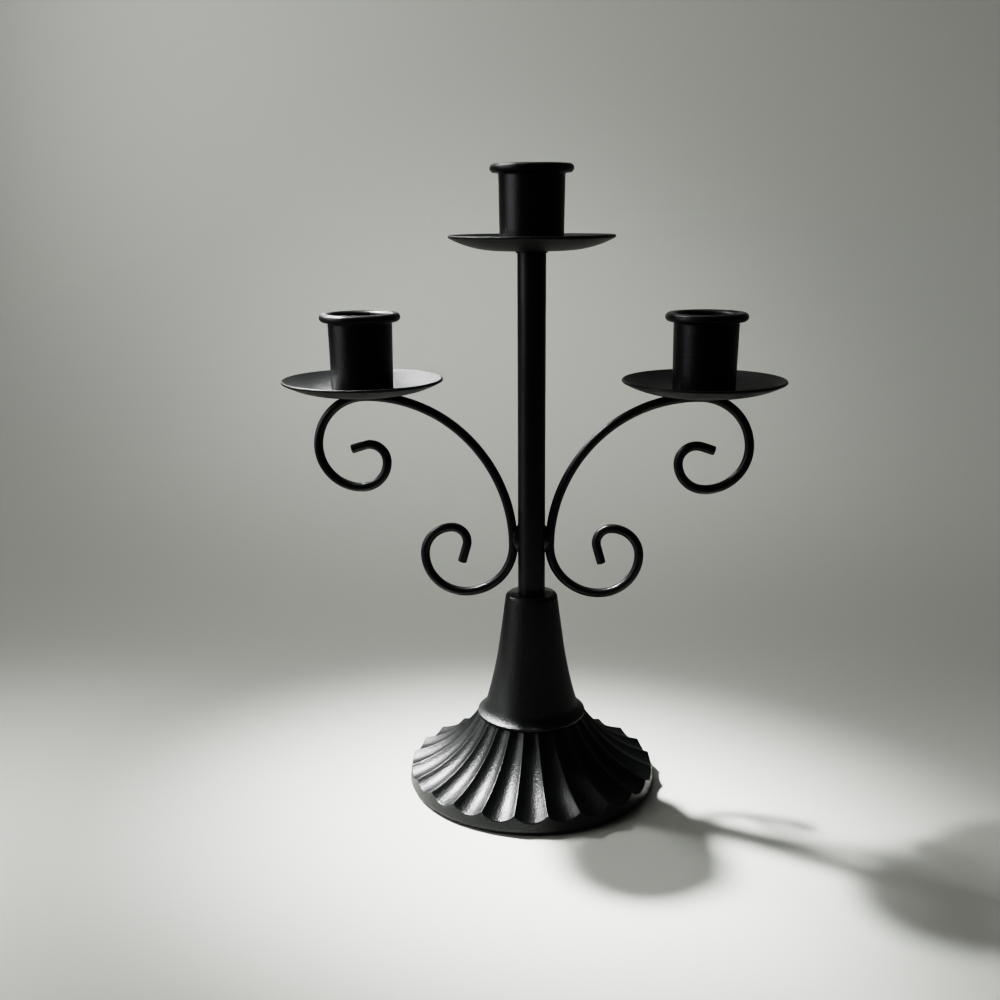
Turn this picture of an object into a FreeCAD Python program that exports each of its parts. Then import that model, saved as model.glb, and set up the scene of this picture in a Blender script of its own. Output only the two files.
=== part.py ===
import FreeCAD, Part
import math
import os

# Three-light candelabra in black-coated iron. Millimetres, +Z up, the post on the Z axis,
# the arms along X, and the origin on the floor under the post.

V = FreeCAD.Vector
UP = V(0, 0, 1)
os.makedirs("parts", exist_ok=True)

# Felt ring under the foot
felt_thickness = 1.2
felt_width = 6.0
felt_inset = 1.0

# Fluted skirt of the base
base_radius = 54.0
rim_height = 7.6
rim_lean = 0.8
rim_foot_round = 1.0
skirt_height = 30.4
skirt_sag = 3.5
crown_radius = 23.9
crown_thickness = 4.0
skirt_wall = 2.5
foot_width = 8.0
flute_count = 24
flute_phase_deg = 2.0
flute_depth_at_rim = 2.5
flute_depth_at_crown = 1.0
ridge_stock = 0.25
spigot_height = 1.5
spigot_clearance = 0.3

# Bell-shaped neck
bell_height = 55.2
bell_top_radius = 11.1
bell_top_round = 1.8
bell_waist_radius = 13.75
bell_waist_height = 33.9
bell_knee_radius = 19.8
bell_knee_height = 5.5
bell_foot_radius = 23.4
bell_foot_edge = 1.4
bell_wall = 2.6
socket_depth = 4.0
socket_clearance = 0.05
socket_web = 5.0

# Post
post_radius = 5.7
post_wall = 1.0
post_length = 144.8
cap_flange_overhang = 0.7
cap_flange_thickness = 0.8
cap_plug_depth = 8.0
cap_clearance = 0.05

# Thread shared by the rod, the studs and the cups, drawn as plain cylinders
thread_radius = 2.5
thread_pitch = 0.8
thread_turns = 7
thread_clearance = 0.06
rod_hole_clearance = 0.1
thread_end_bevel = 0.4
thread_end_gap = 0.6

# Nut and washers under the crown
nut_across_flats = 8.0
nut_height = 4.0
nut_chamfer_deg = 30.0
washer_radius = 7.5
washer_thickness = 1.2
lock_washer_radius = 4.6
lock_washer_thickness = 1.2
lock_washer_slit = 0.8
rod_tail = 2.0

# Scroll wires
wire_radius = 1.9
arm_reach = 69.4
weld_rise = 20.9
sweep_foot_radius = 65.0
sweep_foot_deg = 44.0
crest_setback = 1.3
wire_gap = 0.1
wire_end_round = 0.35
crest_flat = 1.3
upper_curl_radii = (20.8, 17.5, 11.1, 7.2)
upper_curl_degrees = (90, 90, 90, 108)
upper_tail = 5.5
lower_curl_radii = (20.8, 16.8, 11.7, 6.3)
lower_curl_degrees = (90, 90, 90, 106)
lower_tail = 7.4

# Weld runs, one before and one behind each wire
weld_radius = 2.5
weld_length = 13.2
weld_lift = 3.0
weld_root = 0.6
weld_clearance = 0.02

# Weld studs on the wires
stud_flange_radius = 4.0
stud_flange_thickness = 0.7

# Drip pans
pan_radius = 33.0
pan_seat_radius = 13.2
pan_thickness = 1.2
pan_rise_deg = 28.0

# Candle cups
cup_height = 31.2
cup_foot_radius = 12.6
cup_neck_radius = 13.0
cup_foot_round = 0.5
cup_bore_radius = 11.6
cup_mouth_round = 2.0
cup_lip_radius = 16.4
cup_lip_thickness = 3.4
cup_lip_fillet = 0.8

# How far a cutting body runs past the face that it cuts
overrun = 3.0

# Levels of the stack, from the floor up
foot_z = felt_thickness
rim_z = foot_z + rim_height
crown_z = foot_z + skirt_height
crown_underside_z = crown_z - crown_thickness
bell_top_z = crown_z + bell_height
post_foot_z = bell_top_z - socket_depth
post_top_z = post_foot_z + post_length
centre_pan_z = post_top_z + cap_flange_thickness
wire_post_x = post_radius + wire_gap + wire_radius
wire_post_z = bell_top_z + weld_rise
sweep_foot = math.radians(sweep_foot_deg)
sweep_run = arm_reach - crest_setback - wire_post_x
sweep_head_run = sweep_run - sweep_foot_radius * (1 - math.cos(sweep_foot))
sweep_head_radius = sweep_head_run / math.cos(sweep_foot)
sweep_foot_rise = sweep_foot_radius * math.sin(sweep_foot)
sweep_head_rise = sweep_head_radius * (1 - math.sin(sweep_foot))
crest_z = wire_post_z + sweep_foot_rise + sweep_head_rise
stud_flat_z = crest_z + wire_radius - crest_flat
side_pan_z = stud_flat_z + stud_flange_thickness
thread_engagement = thread_turns * thread_pitch
thread_above_pan = pan_thickness + thread_engagement
cup_floor = thread_engagement + thread_end_gap
rod_hole_radius = thread_radius + rod_hole_clearance
tapped_radius = thread_radius + thread_clearance


def at(radius, height):
    """A point of a turned outline, in the XZ plane."""
    return V(radius, 0, height)


def straight(start, end):
    return Part.LineSegment(start, end).toShape()


def bowed(start, end, sag):
    """An arc from start to end that bulges to the left of its direction by sag."""
    chord = end - start
    left = V(-chord.z, 0, chord.x) / chord.Length
    return Part.Arc(start, start + chord / 2 + left * sag, end).toShape()


def quarter(start, end, corner):
    """A quarter round from start to end inside the sharp corner."""
    inner = start + end - corner
    toward = corner - inner
    reach = (start - inner).Length
    return Part.Arc(start, inner + toward * (reach / toward.Length), end).toShape()


def turned(edges):
    """A solid of revolution about Z from a closed outline."""
    face = Part.Face(Part.Wire(edges))
    return face.revolve(V(0, 0, 0), UP, 360)


def disc(radius, height, base_z):
    return Part.makeCylinder(radius, height, V(0, 0, base_z))


def ring(outer, inner, height, base_z):
    hole = disc(inner, height + 2 * overrun, base_z - overrun)
    return disc(outer, height, base_z).cut(hole)


def threaded_bar(height, base_z):
    """A rod or stud stem with a bevelled top end."""
    bar = disc(thread_radius, height, base_z)
    top = [edge for edge in bar.Edges if edge.BoundBox.ZMin > base_z + height / 2]
    return bar.makeChamfer(thread_end_bevel, top)


def save(name, shape):
    shape.exportStep("parts/" + name + ".step")


# The meridian of the skirt's ridges: a hollow arc from the crown down to the rim.
ridge_top = at(crown_radius, crown_z)
ridge_end = at(base_radius - rim_lean, rim_z)
ridge_chord = ridge_end - ridge_top
ridge_half = ridge_chord.Length / 2
ridge_radius = (ridge_half ** 2 + skirt_sag ** 2) / (2 * skirt_sag)
ridge_up = V(-ridge_chord.z, 0, ridge_chord.x) / ridge_chord.Length
ridge_centre = ridge_top + ridge_chord / 2 + ridge_up * (ridge_radius - skirt_sag)
ridge_sweep = 2 * math.asin(ridge_half / ridge_radius)
ridge_start_angle = math.atan2(ridge_top.z - ridge_centre.z, ridge_top.x - ridge_centre.x)


def ridge_direction(share):
    """From the arc's centre to its point at a share of the way from crown to rim."""
    angle = ridge_start_angle + share * ridge_sweep
    return at(math.cos(angle), math.sin(angle))


def flute_section(share):
    """The round section of one flute, square to the ridge arc, through both its ridges."""
    outward = ridge_direction(share)
    middle = ridge_centre + outward * ridge_radius
    pitch_angle = math.pi / flute_count
    half_width = middle.x * math.sin(pitch_angle)
    depth = flute_depth_at_crown + share * (flute_depth_at_rim - flute_depth_at_crown)
    radius = (half_width ** 2 + depth ** 2) / (2 * depth)
    ridge_drop = middle.x * (1 - math.cos(pitch_angle)) * abs(outward.x)
    floor = middle + outward * (depth + ridge_drop)
    axis = floor - outward * radius
    side = V(0, radius, 0)
    lower = Part.Arc(axis - side, floor, axis + side).toShape()
    upper = Part.Arc(axis + side, axis - outward * radius, axis - side).toShape()
    return Part.Wire([lower, upper])


flute_stations_shares = (-0.12, 0.1, 0.32, 0.54, 0.76, 0.98, 1.2)


def fluted_skirt():
    """The foot casting: a hollow turned body with round flutes running out through the rim."""
    rim_corner = at(base_radius, foot_z)
    rim_foot = rim_corner - V(rim_foot_round, 0, 0)
    rim_side = rim_corner + UP * rim_foot_round
    rim_top = ridge_end + ridge_up * ridge_stock
    crown_edge = ridge_top + ridge_up * ridge_stock
    spigot_radius = bell_knee_radius - bell_wall - spigot_clearance
    spigot_z = crown_z + spigot_height
    foot_inner = base_radius - foot_width
    inner_arc = ridge_radius + skirt_wall + flute_depth_at_rim
    foot_reach = ridge_centre.x - foot_inner
    inner_low = at(foot_inner, ridge_centre.z - math.sqrt(inner_arc ** 2 - foot_reach ** 2))
    crown_drop = ridge_centre.z - crown_underside_z
    inner_high = at(ridge_centre.x - math.sqrt(inner_arc ** 2 - crown_drop ** 2), crown_underside_z)
    inner_half = (inner_high - inner_low).Length / 2
    inner_sag = inner_arc - math.sqrt(inner_arc ** 2 - inner_half ** 2)
    body = turned([
        straight(at(rod_hole_radius, crown_underside_z), inner_high),
        bowed(inner_high, inner_low, -inner_sag),
        straight(inner_low, at(foot_inner, foot_z)),
        straight(at(foot_inner, foot_z), rim_foot),
        quarter(rim_foot, rim_side, rim_corner),
        straight(rim_side, rim_top),
        bowed(rim_top, crown_edge, skirt_sag),
        straight(crown_edge, at(crown_edge.x, crown_z)),
        straight(at(crown_edge.x, crown_z), at(spigot_radius, crown_z)),
        straight(at(spigot_radius, crown_z), at(spigot_radius, spigot_z)),
        straight(at(spigot_radius, spigot_z), at(rod_hole_radius, spigot_z)),
        straight(at(rod_hole_radius, spigot_z), at(rod_hole_radius, crown_underside_z)),
    ])
    flute = Part.makeLoft([flute_section(share) for share in flute_stations_shares], True, False)
    pitch_deg = 360 / flute_count
    for number in range(flute_count):
        tool = flute.copy()
        tool.rotate(V(0, 0, 0), UP, flute_phase_deg - 90 + number * pitch_deg)
        body = body.cut(tool)
    return body


# The neck's outer side: a straight taper to the waist, a slow arc to the knee, a quick flare.
bell_waist = at(bell_waist_radius, crown_z + bell_waist_height)
bell_knee = at(bell_knee_radius, crown_z + bell_knee_height)
bell_foot = at(bell_foot_radius, crown_z + bell_foot_edge)
bell_shoulder = at(bell_top_radius, bell_top_z - bell_top_round)


def lean_of(upper, lower):
    """How far a chord of the neck's outline leans out from the plumb line."""
    return math.atan2(lower.x - upper.x, upper.z - lower.z)


def sag_of(upper, lower, lean):
    """Sag of the arc that leaves the upper point at a lean and ends in the lower point."""
    return (lower - upper).Length / 2 * math.tan((lean_of(upper, lower) - lean) / 2)


bell_taper = lean_of(bell_shoulder, bell_waist)
bell_arc_sag = sag_of(bell_waist, bell_knee, bell_taper)
bell_knee_lean = 2 * lean_of(bell_waist, bell_knee) - bell_taper
bell_flare_sag = sag_of(bell_knee, bell_foot, bell_knee_lean)


def bell_neck():
    """The hollow trumpet casting, with a socket for the post in its top."""
    shoulder = at(bell_top_radius, bell_top_z)
    shoulder_top = shoulder - V(bell_top_round, 0, 0)
    edge_half = bell_foot_edge / 2
    foot_round = at(bell_foot_radius - edge_half, crown_z)
    socket_radius = post_radius + socket_clearance
    ceiling_z = post_foot_z - socket_web
    inner_waist = bell_waist - V(bell_wall, 0, 0)
    inner_knee = bell_knee - V(bell_wall, 0, 0)
    inner_foot = at(inner_knee.x, crown_z)
    inner_top = at(inner_waist.x - math.tan(bell_taper) * (ceiling_z - inner_waist.z), ceiling_z)
    return turned([
        straight(at(rod_hole_radius, ceiling_z), inner_top),
        straight(inner_top, inner_waist),
        bowed(inner_waist, inner_knee, -bell_arc_sag),
        straight(inner_knee, inner_foot),
        straight(inner_foot, foot_round),
        Part.Arc(foot_round, at(bell_foot_radius, crown_z + edge_half), bell_foot).toShape(),
        bowed(bell_foot, bell_knee, bell_flare_sag),
        bowed(bell_knee, bell_waist, bell_arc_sag),
        straight(bell_waist, bell_shoulder),
        quarter(bell_shoulder, shoulder_top, shoulder),
        straight(shoulder_top, at(socket_radius, bell_top_z)),
        straight(at(socket_radius, bell_top_z), at(socket_radius, post_foot_z)),
        straight(at(socket_radius, post_foot_z), at(rod_hole_radius, post_foot_z)),
        straight(at(rod_hole_radius, post_foot_z), at(rod_hole_radius, ceiling_z)),
    ])


def felt_ring():
    outer = base_radius - felt_inset
    return ring(outer, outer - felt_width, felt_thickness, 0)


def post_cap():
    """A flanged plug in the post's top, on which the centre pan rests."""
    plug_radius = post_radius - post_wall - cap_clearance
    flange = disc(post_radius + cap_flange_overhang, cap_flange_thickness, post_top_z)
    plug_z = post_top_z - cap_plug_depth
    plug = disc(plug_radius, cap_plug_depth, plug_z)
    depth = cap_plug_depth + cap_flange_thickness + 2 * overrun
    hole = disc(rod_hole_radius, depth, plug_z - overrun)
    return flange.fuse(plug).removeSplitter().cut(hole)


washer_z = crown_underside_z - washer_thickness
lock_washer_z = washer_z - lock_washer_thickness
nut_z = lock_washer_z - nut_height


def lock_washer():
    body = ring(lock_washer_radius, rod_hole_radius, lock_washer_thickness, lock_washer_z)
    length = lock_washer_radius + overrun
    height = lock_washer_thickness + 2 * overrun
    corner = V(0, -lock_washer_slit / 2, lock_washer_z - overrun)
    return body.cut(Part.makeBox(length, lock_washer_slit, height, corner))


def hex_nut():
    corner = nut_across_flats / math.sqrt(3)
    sixth = math.pi / 3
    spokes = [V(math.cos(k * sixth), math.sin(k * sixth), 0) * corner for k in range(7)]
    corners = [spoke + UP * nut_z for spoke in spokes]
    prism = Part.Face(Part.makePolygon(corners)).extrude(UP * nut_height)
    flat = nut_across_flats / 2
    chamfer = (corner - flat) * math.tan(math.radians(nut_chamfer_deg))
    top_z = nut_z + nut_height
    blank = turned([
        straight(at(0, nut_z), at(flat, nut_z)),
        straight(at(flat, nut_z), at(corner, nut_z + chamfer)),
        straight(at(corner, nut_z + chamfer), at(corner, top_z - chamfer)),
        straight(at(corner, top_z - chamfer), at(flat, top_z)),
        straight(at(flat, top_z), at(0, top_z)),
        straight(at(0, top_z), at(0, nut_z)),
    ])
    return prism.common(blank).cut(disc(tapped_radius, nut_height + 2 * overrun, nut_z - overrun))


def swung(spoke, angle):
    """A spoke in the XZ plane, turned from +X towards +Z."""
    cosine = math.cos(angle)
    sine = math.sin(angle)
    return at(spoke.x * cosine - spoke.z * sine, spoke.x * sine + spoke.z * cosine)


def curl(start, heading_deg, hand, radii, degrees, tail):
    """Tangent arcs from start, turning left (hand 1) or right (hand -1), then a straight tail."""
    edges = []
    point = start
    heading = math.radians(heading_deg)
    for radius, turn_deg in zip(radii, degrees):
        turn = hand * math.radians(turn_deg)
        spoke = at(math.sin(heading), -math.cos(heading)) * (hand * radius)
        centre = point - spoke
        end = centre + swung(spoke, turn)
        edges.append(Part.Arc(point, centre + swung(spoke, turn / 2), end).toShape())
        point = end
        heading += turn
    tip = point + at(math.cos(heading), math.sin(heading)) * tail
    edges.append(straight(point, tip))
    return edges, tip, at(math.cos(heading), math.sin(heading))


def scroll_wire():
    """The right arm: one bent wire, with a flat on its crest for the stud and the pan."""
    start = at(wire_post_x, wire_post_z)
    sweep_radii = (sweep_foot_radius, sweep_head_radius)
    sweep_degrees = (sweep_foot_deg, 90 - sweep_foot_deg)
    upper, upper_tip, upper_heading = curl(
        start, 90, -1, sweep_radii + upper_curl_radii, sweep_degrees + upper_curl_degrees, upper_tail)
    lower, lower_tip, lower_heading = curl(
        start, -90, 1, lower_curl_radii, lower_curl_degrees, lower_tail)
    path = Part.Wire(lower[::-1] + upper)
    section = Part.Wire(Part.Circle(lower_tip, lower_heading, wire_radius).toShape())
    wire = path.makePipeShell([section], True, False)
    ends = [edge for edge in wire.Edges if is_end(edge, upper_tip) or is_end(edge, lower_tip)]
    wire = wire.makeFillet(wire_end_round, ends)
    length = 4 * pan_seat_radius
    width = 2 * wire_radius + 2 * overrun
    corner = V(arm_reach - length / 2, -width / 2, stud_flat_z)
    return wire.cut(Part.makeBox(length, width, overrun, corner))


def is_end(edge, tip):
    """Whether an edge is the circle round a wire's cut end."""
    curve = edge.Curve
    return isinstance(curve, Part.Circle) and (curve.Center - tip).Length < wire_gap


def weld_runs(wire):
    """Two fillet runs in the corner between post and wire."""
    half = weld_length / 2
    middle = V(post_radius, 0, wire_post_z + weld_lift)
    top = middle + UP * half
    foot = middle - UP * half
    bead_side = Part.Arc(foot, middle + V(weld_radius, 0, 0), top).toShape()
    bead = Part.Face(Part.Wire([bead_side, straight(top, foot)])).revolve(middle, UP, 360)
    post = disc(post_radius + weld_clearance, 2 * weld_length, middle.z - weld_length)
    root = Part.makeBox(4 * weld_radius, 2 * weld_root, 2 * weld_length,
                        middle - V(2 * weld_radius, weld_root, weld_length))
    return bead.cut(post).cut(wire).cut(root)


def weld_stud():
    flange = disc(stud_flange_radius, stud_flange_thickness, stud_flat_z)
    stem = threaded_bar(stud_flange_thickness + thread_above_pan, stud_flat_z)
    stud = flange.fuse(stem).removeSplitter()
    stud.translate(V(arm_reach, 0, 0))
    return stud


def tie_rod():
    foot = nut_z - rod_tail
    return threaded_bar(centre_pan_z + thread_above_pan - foot, foot)


def drip_pan(base_z):
    """A pressed dish: flat seat, curved side and a rounded edge."""
    rise = math.radians(pan_rise_deg)
    half = pan_thickness / 2
    bend = (pan_radius - pan_seat_radius - half) / math.sin(rise) + half
    hub = at(pan_seat_radius, base_z + bend)

    def on_bend(radius, share):
        angle = share * rise
        return hub + at(math.sin(angle), -math.cos(angle)) * radius

    outer = [on_bend(bend, share) for share in (0, 0.5, 1)]
    inner = [on_bend(bend - pan_thickness, share) for share in (1, 0.5, 0)]
    edge_middle = (outer[2] + inner[0]) / 2 + at(math.cos(rise), math.sin(rise)) * half
    hole_low = at(rod_hole_radius, base_z)
    hole_high = at(rod_hole_radius, base_z + pan_thickness)
    return turned([
        straight(hole_low, outer[0]),
        Part.Arc(*outer).toShape(),
        Part.Arc(outer[2], edge_middle, inner[0]).toShape(),
        Part.Arc(*inner).toShape(),
        straight(inner[2], hole_high),
        straight(hole_high, hole_low),
    ])


def candle_cup(base_z):
    """A cast socket with a tapped floor and a rolled lip."""
    bead = cup_lip_thickness / 2
    top_z = base_z + cup_height
    lip_under_z = top_z - cup_lip_thickness
    floor_z = base_z + cup_floor
    foot_corner = at(cup_foot_radius, base_z)
    foot_in = foot_corner - V(cup_foot_round, 0, 0)
    foot_up = foot_corner + UP * cup_foot_round
    neck_corner = at(cup_neck_radius, lip_under_z)
    neck = neck_corner - UP * cup_lip_fillet
    lip_root = neck_corner + V(cup_lip_fillet, 0, 0)
    bead_low = at(cup_lip_radius - bead, lip_under_z)
    bead_out = at(cup_lip_radius, lip_under_z + bead)
    bead_high = at(cup_lip_radius - bead, top_z)
    mouth_corner = at(cup_bore_radius, top_z)
    mouth_out = mouth_corner + V(cup_mouth_round, 0, 0)
    mouth_down = mouth_corner - UP * cup_mouth_round
    bore_foot = at(cup_bore_radius, floor_z)
    return turned([
        straight(at(tapped_radius, base_z), foot_in),
        quarter(foot_in, foot_up, foot_corner),
        straight(foot_up, neck),
        quarter(neck, lip_root, neck_corner),
        straight(lip_root, bead_low),
        Part.Arc(bead_low, bead_out, bead_high).toShape(),
        straight(bead_high, mouth_out),
        quarter(mouth_out, mouth_down, mouth_corner),
        straight(mouth_down, bore_foot),
        straight(bore_foot, at(tapped_radius, floor_z)),
        straight(at(tapped_radius, floor_z), at(tapped_radius, base_z)),
    ])


save("base_felt", felt_ring())
save("base_skirt", fluted_skirt())
save("base_bell", bell_neck())
save("post_tube", ring(post_radius, post_radius - post_wall, post_length, post_foot_z))
save("post_cap", post_cap())
save("tie_rod", tie_rod())
save("rod_washer", ring(washer_radius, rod_hole_radius, washer_thickness, washer_z))
save("rod_lock_washer", lock_washer())
save("rod_nut", hex_nut())

right_wire = scroll_wire()
right_pieces = {
    "scroll": right_wire,
    "weld": weld_runs(right_wire),
    "stud": weld_stud(),
}
for piece, shape in right_pieces.items():
    save("right_" + piece, shape)
    save("left_" + piece, shape.mirror(V(0, 0, 0), V(1, 0, 0)))

lights = {
    "left": (-arm_reach, side_pan_z),
    "centre": (0, centre_pan_z),
    "right": (arm_reach, side_pan_z),
}
for side, (x, pan_z) in lights.items():
    pan = drip_pan(pan_z)
    cup = candle_cup(pan_z + pan_thickness)
    for name, shape in (("drip_pan", pan), ("candle_cup", cup)):
        shape.translate(V(x, 0, 0))
        save(side + "_" + name, shape)
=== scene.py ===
import math

import bpy
from mathutils import Matrix, Vector


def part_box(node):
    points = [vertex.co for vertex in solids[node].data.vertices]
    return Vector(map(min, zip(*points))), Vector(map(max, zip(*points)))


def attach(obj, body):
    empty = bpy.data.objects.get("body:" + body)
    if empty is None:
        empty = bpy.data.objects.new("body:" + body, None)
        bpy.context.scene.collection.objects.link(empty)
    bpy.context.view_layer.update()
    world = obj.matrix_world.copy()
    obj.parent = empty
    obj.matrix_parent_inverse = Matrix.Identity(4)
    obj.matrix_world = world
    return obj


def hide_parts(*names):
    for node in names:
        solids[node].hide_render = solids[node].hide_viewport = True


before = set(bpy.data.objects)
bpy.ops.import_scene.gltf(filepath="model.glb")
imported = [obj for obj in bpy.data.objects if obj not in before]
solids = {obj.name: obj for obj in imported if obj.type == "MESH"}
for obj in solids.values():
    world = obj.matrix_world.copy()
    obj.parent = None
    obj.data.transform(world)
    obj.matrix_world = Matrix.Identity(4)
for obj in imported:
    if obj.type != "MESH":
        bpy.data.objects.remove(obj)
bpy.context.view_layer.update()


# Skirt of the foot: an iron sand casting, hollow below, with 24 round flutes that run out
# through a plain rim. Mould and powder coat leave its ridges and its scalloped edge rounded.
mm = 0.001
base_radius = 54.0 * mm
foot_z = 1.2 * mm
rim_foot_round = 1.0 * mm
rim_top = Vector((53.2 * mm, 8.8 * mm))
crown_edge = Vector((23.9 * mm, 31.6 * mm))
skirt_sag = 3.5 * mm
skirt_wall = 5.0 * mm
foot_inner = 46.0 * mm
crown_underside_z = 27.6 * mm
spigot_radius = 16.9 * mm
spigot_z = 33.1 * mm
rod_hole_radius = 2.6 * mm
flute_count = 24
flute_phase = math.radians(2.0 - 90.0)
flute_depth_crown = 1.0 * mm
flute_depth_rim = 2.5 * mm
ridge_softness = 0.42 * mm
ridge_loss = 0.16 * mm
edge_softness = 0.4 * mm
crown_share = 0.06
rim_shares = (0.8, 1.25)
face_rows = 45
edge_rows = 5
rim_rows = 4
inner_rows = 12

ridge_chord = rim_top - crown_edge
ridge_half = ridge_chord.length / 2
ridge_radius = (ridge_half ** 2 + skirt_sag ** 2) / (2 * skirt_sag)
ridge_up = Vector((-ridge_chord.y, ridge_chord.x)).normalized()
ridge_centre = crown_edge + ridge_chord / 2 + ridge_up * (ridge_radius - skirt_sag)
ridge_sweep = 2 * math.asin(ridge_half / ridge_radius)
ridge_start = math.atan2(crown_edge.y - ridge_centre.y, crown_edge.x - ridge_centre.x)
half_pitch = math.pi / flute_count


def fluted_face(share, swing):
    """Radius and height at a share of the way from crown to rim, swing from a flute's middle."""
    angle = ridge_start + share * ridge_sweep
    inward = Vector((math.cos(angle), math.sin(angle)))
    ridge_x = ridge_centre.x + inward.x * ridge_radius
    half_width = ridge_x * math.sin(half_pitch)
    depth = flute_depth_crown + share * (flute_depth_rim - flute_depth_crown)
    round_radius = (half_width ** 2 + depth ** 2) / (2 * depth)
    floor_depth = depth + ridge_x * (1 - math.cos(half_pitch)) * abs(inward.x)
    point = ridge_centre + inward * ridge_radius
    for _ in range(5):
        reach = point.x * math.tan(half_pitch)
        to_ridge = reach - point.x * math.tan(abs(swing))
        side = reach - (math.hypot(to_ridge, ridge_softness) - ridge_loss)
        rise = round_radius - math.sqrt(max(round_radius ** 2 - side ** 2, 0))
        point = ridge_centre + inward * (ridge_radius + floor_depth - rise)
    return Vector((point.x / math.cos(swing), min(point.y, crown_edge.y)))


def rim_side(height):
    """Radius of the plain rim at a height; it leans in a little towards its top."""
    share = (height - foot_z - rim_foot_round) / (rim_top.y - foot_z - rim_foot_round)
    return base_radius + share * (rim_top.x - base_radius)


def skirt_outline(swing):
    """The closed outline of the casting at one swing, from the crown out, round and back."""
    near, far = rim_shares
    for _ in range(30):
        middle = (near + far) / 2
        point = fluted_face(middle, swing)
        if point.x < rim_side(point.y):
            near = middle
        else:
            far = middle
    last = near - edge_softness / (ridge_radius * ridge_sweep)
    row_share = (last + crown_share) / (face_rows - 1)
    outline = [fluted_face(-crown_share + row_share * k, swing) for k in range(face_rows)]
    corner = fluted_face(near, swing)
    below = corner.y - edge_softness
    start, end = outline[-1], Vector((rim_side(below), below))
    for k in range(1, edge_rows + 1):
        t = k / edge_rows
        outline.append(start * (1 - t) ** 2 + corner * 2 * t * (1 - t) + end * t ** 2)
    low = foot_z + rim_foot_round
    for k in range(1, rim_rows + 1):
        height = below + (low - below) * k / rim_rows
        outline.append(Vector((rim_side(height), height)))
    hub = Vector((base_radius - rim_foot_round, low))
    for k in range(1, edge_rows + 1):
        turn = math.pi / 2 * k / edge_rows
        outline.append(hub + Vector((math.cos(turn), -math.sin(turn))) * rim_foot_round)
    outline.append(Vector((foot_inner, foot_z)))
    inner_radius = ridge_radius + skirt_wall
    low_turn = math.acos((foot_inner - ridge_centre.x) / inner_radius)
    high_turn = math.pi - math.asin((ridge_centre.y - crown_underside_z) / inner_radius)
    for k in range(inner_rows + 1):
        turn = low_turn + (high_turn - low_turn) * k / inner_rows
        outline.append(ridge_centre + Vector((math.cos(turn), -math.sin(turn))) * inner_radius)
    outline.append(Vector((rod_hole_radius, crown_underside_z)))
    outline.append(Vector((rod_hole_radius, spigot_z)))
    outline.append(Vector((spigot_radius, spigot_z)))
    outline.append(Vector((spigot_radius, crown_edge.y)))
    return outline


def mesh_piece(name, points, faces, sharp_deg=35.0):
    """A new smooth-shaded object, with its hard corners kept sharp."""
    mesh = bpy.data.meshes.new(name)
    mesh.from_pydata(points, [], faces)
    mesh.polygons.foreach_set("use_smooth", [True] * len(mesh.polygons))
    mesh.set_sharp_from_angle(angle=math.radians(sharp_deg))
    piece = bpy.data.objects.new(name, mesh)
    bpy.context.scene.collection.objects.link(piece)
    return piece


def turned_piece(name, columns, sharp_deg=35.0):
    """A closed body from outlines (azimuth, [(radius, height)]) that go once round Z."""
    rows = len(columns[0][1])
    points = []
    for azimuth, outline in columns:
        points += [(r * math.cos(azimuth), r * math.sin(azimuth), z) for r, z in outline]
    faces = []
    for c in range(len(columns)):
        here, there = c * rows, (c + 1) % len(columns) * rows
        for r in range(rows):
            up = (r + 1) % rows
            faces.append((here + r, here + up, there + up, there + r))
    return mesh_piece(name, points, faces, sharp_deg)


flute_steps = (0.0, 0.22, 0.43, 0.61, 0.75, 0.85, 0.91, 0.95, 0.98)
swings = [-s for s in flute_steps[:0:-1]] + list(flute_steps) + [1.0]
outlines = [skirt_outline(s * half_pitch) for s in swings]
skirt_columns = []
for flute in range(flute_count):
    middle = flute_phase + flute * 2 * half_pitch
    for s, outline in zip(swings, outlines):
        skirt_columns.append((middle + s * half_pitch, outline))
skirt = turned_piece("fluted_skirt", skirt_columns)

# The coat is rubbed smoother on the crests of the ridges and along the scalloped edge, and its
# colour is painted lighter there as a painted highlight.
crest_start = 0.88
edge_rub_and_sheen = 0.8
inside_rows = len(outlines[0]) - face_rows - edge_rows
rub_and_sheen_mask = []
for s in swings:
    crest = max(0.0, (abs(s) - crest_start) / (1 - crest_start)) ** 2
    rub_and_sheen_mask += [crest] * face_rows + [edge_rub_and_sheen] * edge_rows + [0.0] * inside_rows
# This mask sets where the coat is smoother and where a painted highlight lightens its colour.
rub_and_sheen = skirt.data.attributes.new("rub_and_sheen", "FLOAT", "POINT")
rub_and_sheen.data.foreach_set("value", rub_and_sheen_mask * flute_count)


class Socket:
    """A shader socket. Sums and products with numbers or sockets add Math nodes."""

    def __init__(self, tree, output=None):
        self.tree = tree
        self.output = output

    def node(self, kind, settings, sockets, output=0):
        """Adds a node: its type, its settings, the values or links of its sockets."""
        added = self.tree.nodes.new("ShaderNode" + kind)
        for key, value in settings.items():
            setattr(added, key, value)
        for key, value in sockets.items():
            if isinstance(value, Socket):
                self.tree.links.new(value.output, added.inputs[key])
            else:
                added.inputs[key].default_value = value
        return Socket(self.tree, added.outputs[output])

    def math(self, operation, first, second=0.0):
        return self.node("Math", {"operation": operation}, {0: first, 1: second})

    def blend(self, low, high):
        """A colour between low and high, by this socket's value."""
        return self.node("Mix", {"data_type": "RGBA"}, {0: self, 6: low, 7: high}, 2)

    def feed(self, shader, name):
        self.tree.links.new(self.output, shader.inputs[name])

    def __add__(self, other):
        return self.math("ADD", self, other)

    def __sub__(self, other):
        return self.math("SUBTRACT", self, other)

    def __rsub__(self, other):
        return self.math("SUBTRACT", other, self)

    def __mul__(self, other):
        return self.math("MULTIPLY", self, other)

    __radd__ = __add__
    __rmul__ = __mul__


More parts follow.
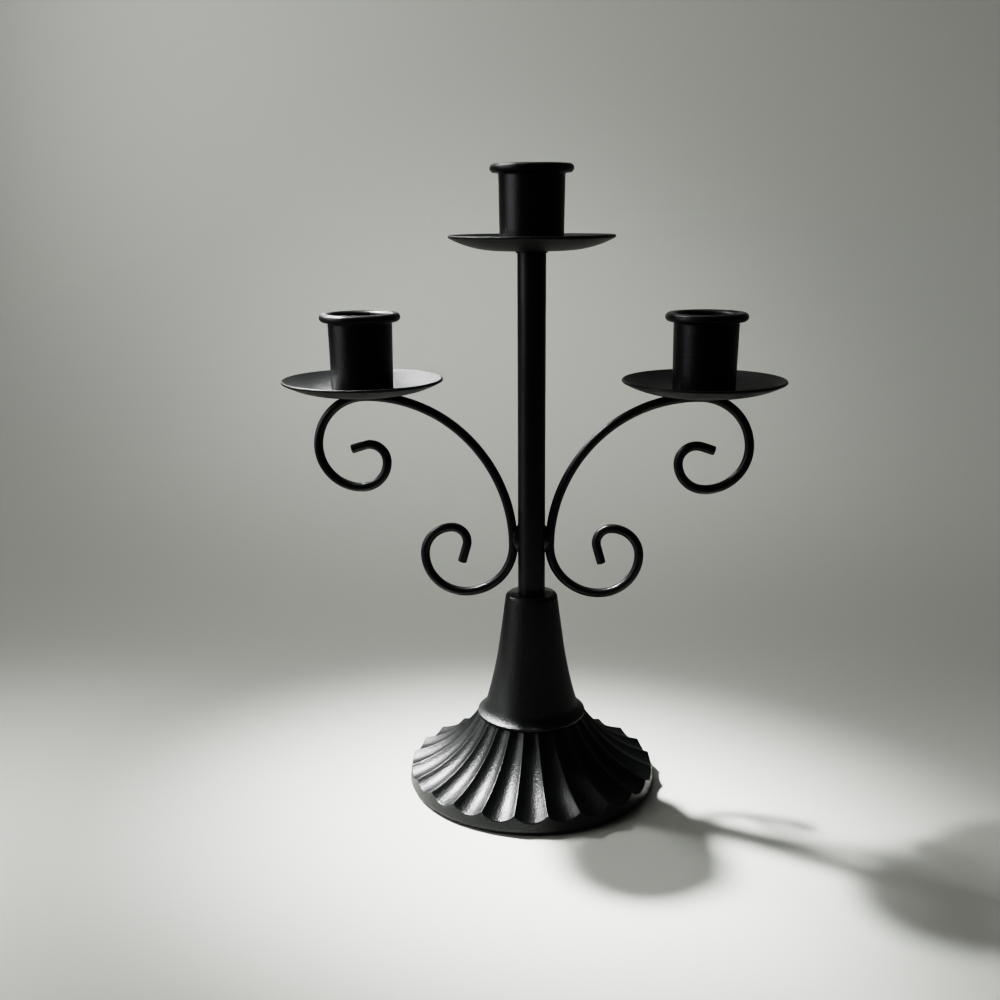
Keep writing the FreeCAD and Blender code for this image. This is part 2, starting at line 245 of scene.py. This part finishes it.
def new_finish(name):
    """A material with its tree's first socket and its shader."""
    material = bpy.data.materials.new(name)
    material.use_nodes = True
    shader = material.node_tree.nodes["Principled BSDF"]
    return material, Socket(material.node_tree), shader


coat_dark = (0.0034, 0.0045, 0.0046, 1)
coat_light = (0.0066, 0.0080, 0.0081, 1)
# Painted highlight: a lighter tone for the crests of the ridges and the scalloped edge.
painted_sheen_tone = (0.05, 0.05, 0.048, 1)
cloud_scale = 45.0


def black_coat(name, grain_size, grain_height, gloss, rubbed_and_sheened=False):
    """Black powder coat: a fine pebbled skin over the metal, a little uneven in tone. Where
    rubbed, it is smoother and its colour is painted lighter as a painted highlight.
    """
    material, start, shader = new_finish(name)
    place = start.node("TexCoord", {}, {}, "Object")
    grain = start.node("TexNoise", {}, {
        "Vector": place, "Scale": 1 / grain_size, "Detail": 2.0, "Roughness": 0.6}, "Fac")
    pebble = start.node("TexVoronoi", {"feature": "SMOOTH_F1"}, {
        "Vector": place, "Scale": 0.7 / grain_size, "Smoothness": 0.6}, "Distance")
    flow = start.node("TexNoise", {}, {
        "Vector": place, "Scale": 0.06 / grain_size, "Detail": 2.0}, "Fac")
    cloud = start.node("TexNoise", {}, {
        "Vector": place, "Scale": cloud_scale, "Detail": 4.0, "Roughness": 0.6}, "Fac")
    tone = cloud.blend(coat_dark, coat_light)
    rough = gloss + (cloud - 0.5) * 0.10 + (grain - 0.5) * 0.12
    if rubbed_and_sheened:
        # On the rub mask the colour is painted lighter as a painted highlight, and the roughness
        # is lowered for the rubbed coat.
        wear_and_sheen = start.node("Attribute", {"attribute_name": "rub_and_sheen"}, {}, "Fac") * cloud
        tone = (wear_and_sheen * 0.7).blend(tone, painted_sheen_tone)
        rough = rough - wear_and_sheen * 0.10
    tone.feed(shader, "Base Color")
    rough.feed(shader, "Roughness")
    height = grain - pebble * 0.4 + flow * 0.3
    bump = start.node("Bump", {}, {
        "Strength": 1.0, "Distance": grain_height, "Height": height}, "Normal")
    bump.feed(shader, "Normal")
    return material


def dress(piece, material):
    piece.data.materials.clear()
    piece.data.materials.append(material)


cast_coat = black_coat("coat_on_casting", 0.75 * mm, 0.15 * mm, 0.44)
dress(skirt, black_coat("coat_on_ridges", 0.75 * mm, 0.15 * mm, 0.37, rubbed_and_sheened=True))
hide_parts("base_skirt")
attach(skirt, "root")


# Felt ring: a punched ring of black pressed wool, glued under the foot so that the iron does
# not scratch the table. Its cut edges are a little uneven and soft.
felt_thickness = 1.2 * mm
felt_outer = 53.0 * mm
felt_inner = 47.0 * mm
felt_round = 0.5 * mm
felt_stray = 0.22 * mm
felt_steps = 240
corner_steps = 4
felt_dark = (0.006, 0.006, 0.006, 1)
felt_light = (0.03, 0.031, 0.03, 1)
felt_columns = []
for k in range(felt_steps):
    azimuth = 2 * math.pi * k / felt_steps
    stray_out = felt_stray * (math.sin(7 * azimuth + 0.4) + math.sin(23 * azimuth) - 2) / 4
    stray_in = felt_stray * (math.sin(5 * azimuth + 1.9) + math.sin(31 * azimuth) + 2) / 4
    outer_hub = felt_outer + stray_out - felt_round
    inner_hub = felt_inner + stray_in + felt_round
    top_hub = felt_thickness - felt_round
    outline = []
    corners = ((inner_hub, top_hub, 180), (outer_hub, top_hub, 90),
               (outer_hub, felt_round, 0), (inner_hub, felt_round, -90))
    for hub_x, hub_z, first in corners:
        hub = Vector((hub_x, hub_z))
        for step in range(corner_steps + 1):
            turn = math.radians(first - step * 90 / corner_steps)
            outline.append(hub + Vector((math.cos(turn), math.sin(turn))) * felt_round)
    felt_columns.append((azimuth, outline))
felt = turned_piece("felt_ring", felt_columns, 80.0)
felt_finish, start, shader = new_finish("pressed_felt")
place = start.node("TexCoord", {}, {}, "Object")
fibre = start.node("TexNoise", {}, {
    "Vector": place, "Scale": 1800.0, "Detail": 4.0, "Roughness": 0.7, "Distortion": 1.5}, "Fac")
clump = start.node("TexNoise", {}, {"Vector": place, "Scale": 260.0, "Detail": 2.0}, "Fac")
(fibre * 0.6 + clump * 0.4).blend(felt_dark, felt_light).feed(shader, "Base Color")
start.node("Bump", {}, {
    "Strength": 1.0, "Distance": 0.15 * mm, "Height": fibre + clump}, "Normal").feed(
    shader, "Normal")
shader.inputs["Roughness"].default_value = 0.95
shader.inputs["Sheen Weight"].default_value = 0.25
dress(felt, felt_finish)
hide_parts("base_felt")
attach(felt, "root")


# Neck: a hollow trumpet-shaped iron casting that stands on the crown of the skirt. It is coated
# with the skirt's black and takes the post in a socket in its top.
dress(solids["base_bell"], cast_coat)


# Tie rod, washers and nut: zinc-plated steel. The rod runs up the post from the nut under the
# crown to the centre cup, and clamps the whole stack.
thread_pitch = 0.8 * mm
thread_relief = 0.3 * mm
zinc_blue = (0.46, 0.49, 0.54, 1)
zinc_straw = (0.60, 0.58, 0.52, 1)
coat_middle = (0.005, 0.0062, 0.0063, 1)


def zinc(name, thread_axis=None, coated_below=None):
    """Zinc plate with straw patches; a thread about an axis at x, black coat below a height."""
    material, start, shader = new_finish(name)
    place = start.node("TexCoord", {}, {}, "Object")
    cloud = start.node("TexNoise", {}, {
        "Vector": place, "Scale": 160.0, "Detail": 3.0, "Distortion": 0.6}, "Fac")
    spangle = start.node("TexNoise", {}, {"Vector": place, "Scale": 1500.0, "Detail": 2.0}, "Fac")
    tone = cloud.blend(zinc_blue, zinc_straw)
    rough = 0.30 + spangle * 0.12 + cloud * 0.08
    height = spangle * 0.05
    shader.inputs["Metallic"].default_value = 1.0
    if thread_axis is not None:
        x, y, z = (start.node("SeparateXYZ", {}, {0: place}, part) for part in "XYZ")
        turn = start.math("ARCTAN2", y, x - thread_axis)
        phase = z * (1 / thread_pitch) - turn * (0.5 / math.pi)
        height = height + start.math("PINGPONG", phase, 0.5) * 2.0
    if coated_below is not None:
        bare = start.math("GREATER_THAN", z, coated_below)
        tone = bare.blend(coat_middle, tone)
        rough = rough + (1 - bare) * 0.06
        height = height * bare
        bare.feed(shader, "Metallic")
    tone.feed(shader, "Base Color")
    rough.feed(shader, "Roughness")
    start.node("Bump", {}, {
        "Strength": 1.0, "Distance": thread_relief, "Height": height}, "Normal").feed(
        shader, "Normal")
    return material


plain_zinc = zinc("zinc_plate")
for name in ("rod_washer", "rod_lock_washer", "rod_nut"):
    dress(solids[name], plain_zinc)
dress(solids["tie_rod"], zinc("rod_thread", 0.0))


# Post and its cap: drawn steel tube, closed at the top by a flanged plug under the centre pan.
# The coat lies smoother here than on the castings.
steel_coat = black_coat("coat_on_steel", 0.7 * mm, 0.05 * mm, 0.41)
dress(solids["post_tube"], steel_coat)
dress(solids["post_cap"], steel_coat)


# Scroll arms: one round steel wire each, bent cold into two curls and cut square at both ends.
# The crest is flattened for the stud and the pan.
wire_coat = black_coat("coat_on_wire", 0.6 * mm, 0.05 * mm, 0.38)
for side in ("left", "right"):
    dress(solids[side + "_scroll"], wire_coat)


# Welds: two short runs before and behind each wire, in its corner with the post. The bead's
# crescent ripples still show under the coat.
post_radius = 5.7 * mm
weld_middle_z = 110.7 * mm
weld_half = 6.6 * mm
weld_radius = 2.5 * mm
ripple_pitch = 1.15 * mm
ripple_height = 0.10 * mm
ripple_lag = 0.5 * mm
bead_fit = 0.98
weld_stand_off = 0.6 * mm
weld_arc = (weld_half ** 2 + weld_radius ** 2) / (2 * weld_radius)
bead_depth = weld_radius - weld_stand_off
bead_half = math.sqrt(weld_arc ** 2 - (weld_arc - bead_depth) ** 2)
bead_spread = bead_fit * weld_radius / bead_depth


def weld_bead(name, side, facing):
    """A rippled spindle against post and wire: side is the arm, facing the front or the back."""
    lengthwise, around = 64, 20
    points = [(side * post_radius, facing * weld_stand_off, weld_middle_z - bead_half)]
    for i in range(1, lengthwise):
        z = bead_half * math.sin(math.pi * (i / lengthwise - 0.5))
        swell = math.sqrt(weld_arc ** 2 - z ** 2) - (weld_arc - bead_depth)
        for k in range(around):
            turn = 2 * math.pi * k / around
            across, out = math.cos(turn), math.sin(turn)
            swept = z + ripple_lag * out * out
            ripple = ripple_height * (abs(math.sin(math.pi * swept / ripple_pitch)) - 1)
            r = swell + ripple * swell / bead_depth
            x = post_radius + r * bead_spread * across
            y = weld_stand_off + r * (out + 1) / 2
            points.append((side * x, facing * y, weld_middle_z + z))
    points.append((side * post_radius, facing * weld_stand_off, weld_middle_z + bead_half))
    faces = []
    last = len(points) - 1
    for k in range(around):
        a, b = 1 + k, 1 + (k + 1) % around
        faces.append((0, b, a))
        for _ in range(lengthwise - 2):
            faces.append((a, b, b + around, a + around))
            a, b = a + around, b + around
        faces.append((a, b, last))
    if side * facing < 0:
        faces = [face[::-1] for face in faces]
    return mesh_piece(name, points, faces, 60.0)


for side, sign in (("left", -1), ("right", 1)):
    front = weld_bead(side + "_weld_front", sign, -1)
    back = weld_bead(side + "_weld_back", sign, 1)
    for bead in (front, back):
        dress(bead, wire_coat)
        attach(bead, "root")
    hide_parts(side + "_weld")


# Weld studs: threaded studs with a small flange, welded on the crests of the wires. The coat
# covers the flange; the thread above it, for pan and cup, was masked and stays bare zinc.
arm_reach = 69.4 * mm
for side, sign in (("left", -1), ("right", 1)):
    pan_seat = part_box(side + "_drip_pan")[0].z
    dress(solids[side + "_stud"], zinc(side + "_stud_thread", sign * arm_reach, pan_seat))


# Drip pans: steel sheet pressed to a shallow dish with a rounded edge. Each is held between its
# cup and what carries it, and turns with the cup.
pan_coat = black_coat("coat_on_pan", 0.7 * mm, 0.15 * mm, 0.42)
for side in ("left", "centre", "right"):
    dress(solids[side + "_drip_pan"], pan_coat)


# Candle cups: iron castings with a tapped floor, a smooth bore and a rolled lip. They screw down
# on the pans and hold tapers of 22 mm.
cup_coat = black_coat("coat_on_cup", 0.7 * mm, 0.09 * mm, 0.37)
for side in ("left", "centre", "right"):
    dress(solids[side + "_candle_cup"], cup_coat)


# Stage: a pale paper sweep on a grey board. Lamps from behind on the left make the pool on the
# paper, others light the backdrop, and a card on the left fills. The camera is the photo's.
stage_half_width = 2.5
paper_front = -0.20
sweep_start = 0.16
sweep_radius = 0.70
sweep_top = 2.2
sweep_steps = 40
profile = [(paper_front, 0.0), (sweep_start, 0.0)]
for k in range(1, sweep_steps + 1):
    turn = math.pi / 2 * k / sweep_steps
    profile.append((sweep_start + sweep_radius * math.sin(turn),
                    sweep_radius * (1 - math.cos(turn))))
profile.append((sweep_start + sweep_radius, sweep_top))
stage_sides = (-stage_half_width, stage_half_width)
sweep_points = [(x, y, z) for y, z in profile for x in stage_sides]
sweep_faces = [(2 * k, 2 * k + 1, 2 * k + 3, 2 * k + 2) for k in range(len(profile) - 1)]
paper = mesh_piece("paper_sweep", sweep_points, sweep_faces, 80.0)
paper_finish, start, shader = new_finish("pale_paper")
place = start.node("TexCoord", {}, {}, "Object")
fleck = start.node("TexNoise", {}, {"Vector": place, "Scale": 900.0, "Detail": 3.0}, "Fac")
paper_dark = (0.606, 0.616, 0.575, 1)
paper_light = (0.646, 0.656, 0.614, 1)
fleck.blend(paper_dark, paper_light).feed(shader, "Base Color")
shader.inputs["Roughness"].default_value = 0.85
shader.inputs["Specular IOR Level"].default_value = 0.2
dress(paper, paper_finish)

board_z = -0.002
board_front = -2.0
board_back = 0.9
left_edge, right_edge = stage_sides
board_points = [(left_edge, board_front, board_z), (right_edge, board_front, board_z),
                (right_edge, board_back, board_z), (left_edge, board_back, board_z)]
board = mesh_piece("grey_board", board_points, [(0, 1, 2, 3)])
board_finish, start, shader = new_finish("stained_board")
place = start.node("TexCoord", {}, {}, "Object")
pores = start.node("TexNoise", {}, {"Vector": place, "Scale": 60.0, "Detail": 5.0}, "Fac")
board_dark = (0.070, 0.072, 0.070, 1)
board_light = (0.100, 0.102, 0.098, 1)
pores.blend(board_dark, board_light).feed(shader, "Base Color")
shader.inputs["Roughness"].default_value = 0.7
dress(board, board_finish)


def lamp(name, kind, place, target, energy):
    """A lamp at a place, turned to a target."""
    light = bpy.data.objects.new(name, bpy.data.lights.new(name, kind))
    bpy.context.scene.collection.objects.link(light)
    light.location = place
    light.rotation_euler = (Vector(target) - Vector(place)).to_track_quat("-Z", "Y").to_euler()
    light.data.energy = energy
    return light


def spot(name, place, target, energy, cone_deg, source_radius, blend):
    """A spot lamp with its full cone angle, the size of its source and how soft its edge is."""
    light = lamp(name, "SPOT", place, target, energy)
    light.data.spot_size = math.radians(cone_deg)
    light.data.shadow_soft_size = source_radius
    light.data.spot_blend = blend


def panel(name, place, target, energy, width, height, spread_deg=180):
    """A flat lamp that shines within a spread angle."""
    light = lamp(name, "AREA", place, target, energy)
    light.data.shape = "RECTANGLE"
    light.data.size = width
    light.data.size_y = height
    light.data.spread = math.radians(spread_deg)


window = (-0.947, 0.503, 1.489)
spot("high_pane", window, (0.010, -0.044, 0.0), 790, 6.4, 0.10, 1.0)
spot("broad_pane", window, (-0.017, -0.075, 0.0), 17, 26, 0.10, 1.0)
spot("left_pane", window, (-0.25, -0.080, 0.0), 84, 10.5, 0.10, 1.0)
spot("low_pane", (-1.261, 0.631, 1.143), (0.100, -0.105, 0.0), 48, 14.0, 0.10, 1.0)
spot("wash", (-0.90, 0.25, 0.90), (-0.04, 0.80, 0.40), 17.8, 76, 0.2, 1.0)
spot("glow", (-0.15, 0.30, 1.50), (-0.04, 0.51, 0.08), 12.0, 28, 0.1, 1.0)
spot("small_lamp", (-0.27, 0.66, 0.47), (-0.06, 0.005, 0.178), 3.0, 9, 0.04, 0.6)
panel("ceiling", (-0.2, 0.55, 1.7), (0.0, 0.1, 0.0), 3.8, 1.2, 0.8)
panel("left_card", (-1.0, -0.28, 0.42), (0.0, 0.0, 0.15), 1.3, 0.8, 0.85, 90)
world = bpy.data.worlds.new("room")
bpy.context.scene.world = world
world.use_nodes = True
background = world.node_tree.nodes["Background"]
background.inputs["Color"].default_value = (1.0, 1.0, 0.97, 1)
background.inputs["Strength"].default_value = 0.046
bpy.context.scene.view_settings.view_transform = "Filmic"
bpy.context.scene.view_settings.look = "Very High Contrast"

camera_place = (0.01683, -0.47021, 0.24355)
camera_turn_deg = 3.679
camera_down_deg = 16.822
camera_roll_deg = -0.428
camera = bpy.data.objects.new("camera", bpy.data.cameras.new("camera"))
bpy.context.scene.collection.objects.link(camera)
camera.matrix_world = (Matrix.Translation(camera_place)
                       @ Matrix.Rotation(math.radians(camera_turn_deg), 4, "Z")
                       @ Matrix.Rotation(math.radians(90 - camera_down_deg), 4, "X")
                       @ Matrix.Rotation(math.radians(camera_roll_deg), 4, "Z"))
camera.data.lens = 41.62
camera.data.sensor_width = 36
camera.data.shift_y = 0.06
camera.data.clip_start = 0.01
bpy.context.scene.camera = camera
